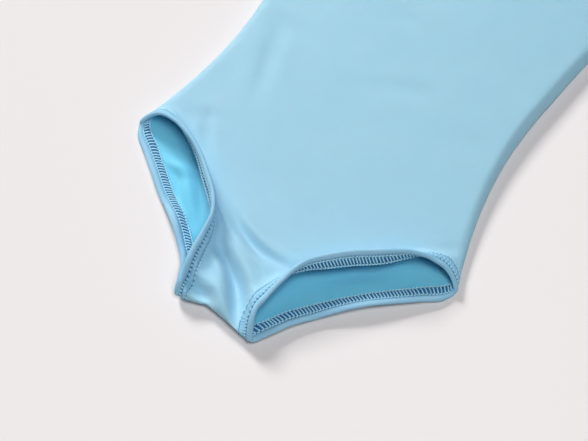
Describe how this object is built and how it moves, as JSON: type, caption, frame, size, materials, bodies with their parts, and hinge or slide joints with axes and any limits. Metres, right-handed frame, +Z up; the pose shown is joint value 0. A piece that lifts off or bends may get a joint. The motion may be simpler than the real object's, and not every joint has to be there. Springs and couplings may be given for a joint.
{
  "type": "long sleeve leotard",
  "caption": "Long sleeve leotard laid flat face up, with a round neck, sleeves spread out and down, turned hems, and leg openings standing slightly open; a stretch garment for sport.",
  "frame": {"origin": "centre of the garment's bounding box, on the surface it lies on", "axes": "+X across the garment towards its right-hand side seen face up, +Y from the crotch to the neck, +Z up from the surface"},
  "size_m": [1.0832, 0.6241, 0.0328],
  "materials": {
    "knit": "matte",
    "hem": "matte"
  },
  "bodies": {
    "root": {"front": "knit", "back": "knit", "sleeve_left": "knit", "sleeve_right": "knit", "neck_hem": "hem", "leg_hem_left": "hem", "leg_hem_right": "hem", "cuff_hem_left": "hem", "cuff_hem_right": "hem"}
  },
  "joints": []
}
